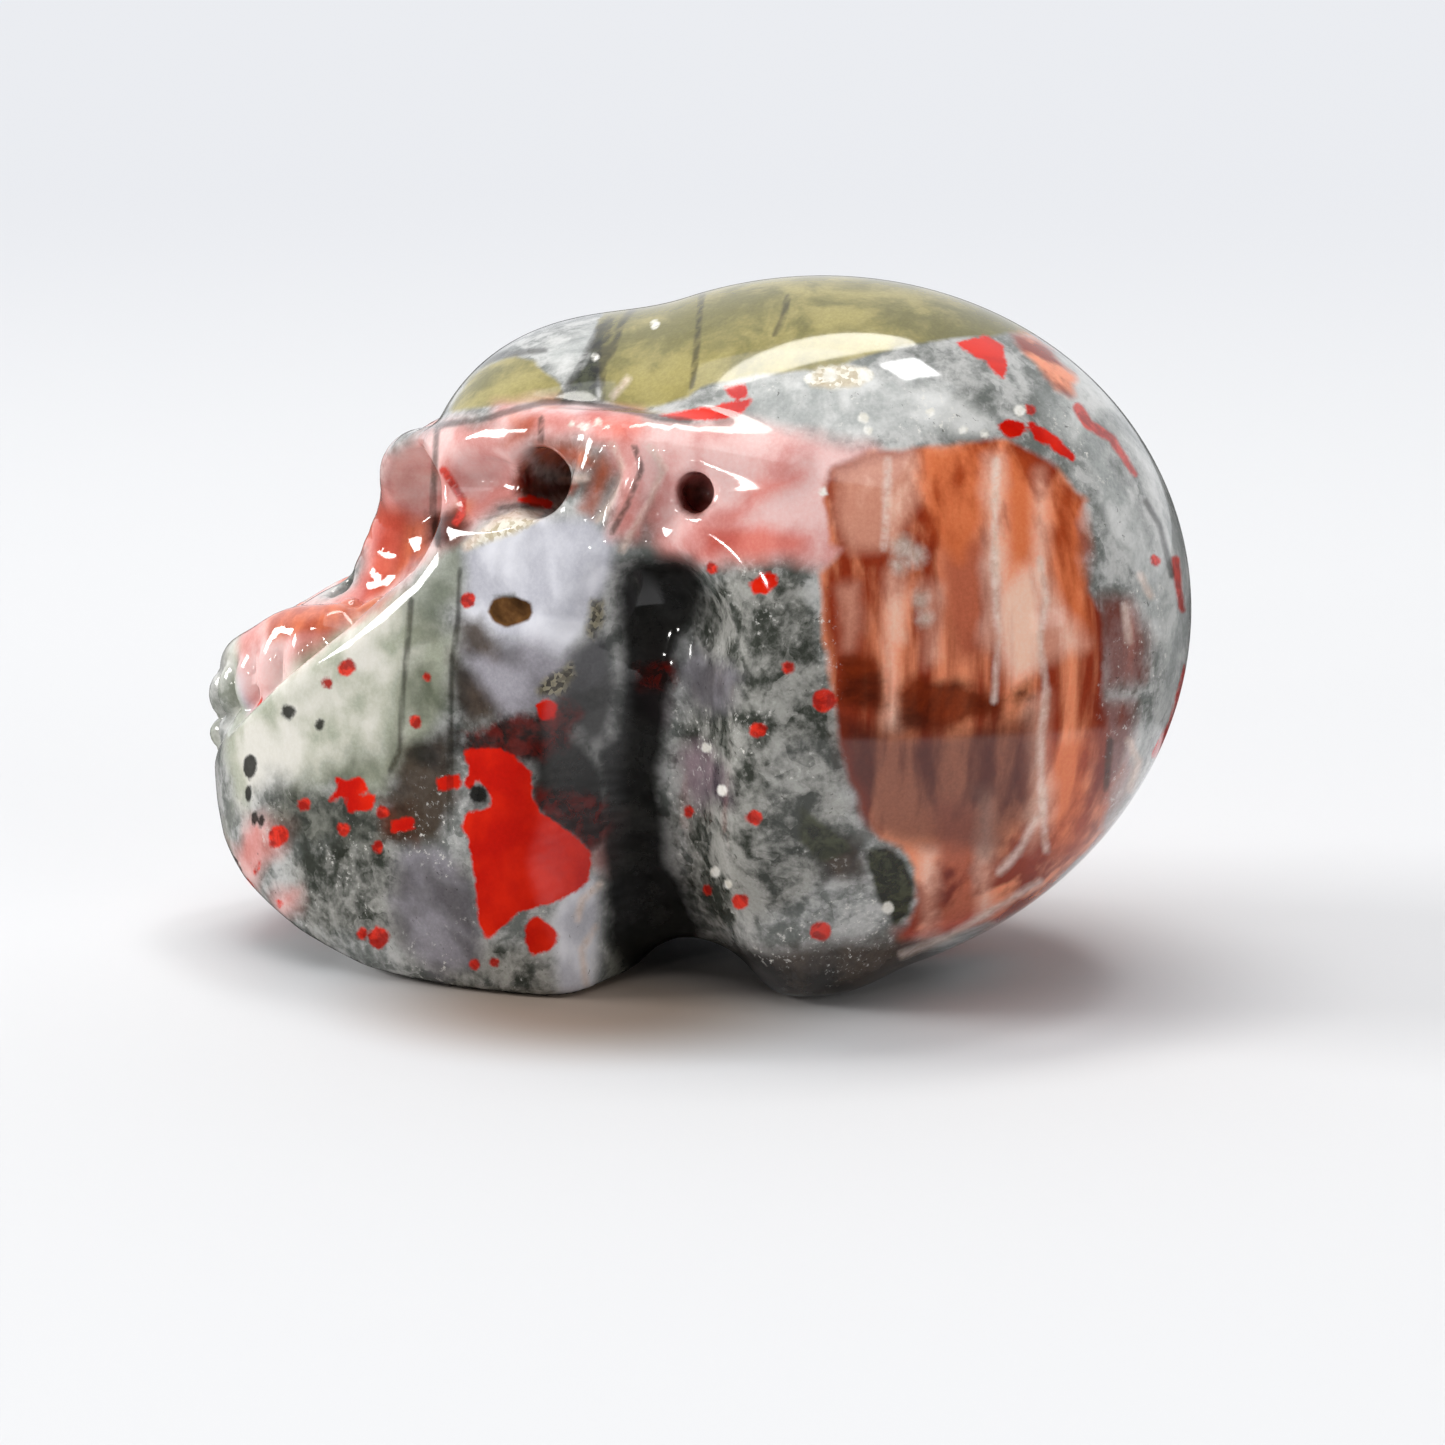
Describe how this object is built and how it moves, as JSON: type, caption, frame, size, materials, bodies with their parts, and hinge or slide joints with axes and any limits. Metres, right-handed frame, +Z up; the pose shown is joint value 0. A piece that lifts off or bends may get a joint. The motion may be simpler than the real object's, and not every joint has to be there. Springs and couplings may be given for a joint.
{
  "type": "carved bloodstone skull",
  "caption": "Polished stone carving of a human skull in one piece, resting on its jaw and the base of the head.",
  "frame": {"origin": "centre of the bottom of the bounding box, on the surface that the skull stands on", "axes": "the face looks along -Y, the skull's left side is +X, +Z is up"},
  "size_m": [0.0328, 0.0518, 0.0353],
  "materials": {
    "skull": "polished stone"
  },
  "bodies": {
    "root": {"skull": "skull"}
  },
  "joints": []
}
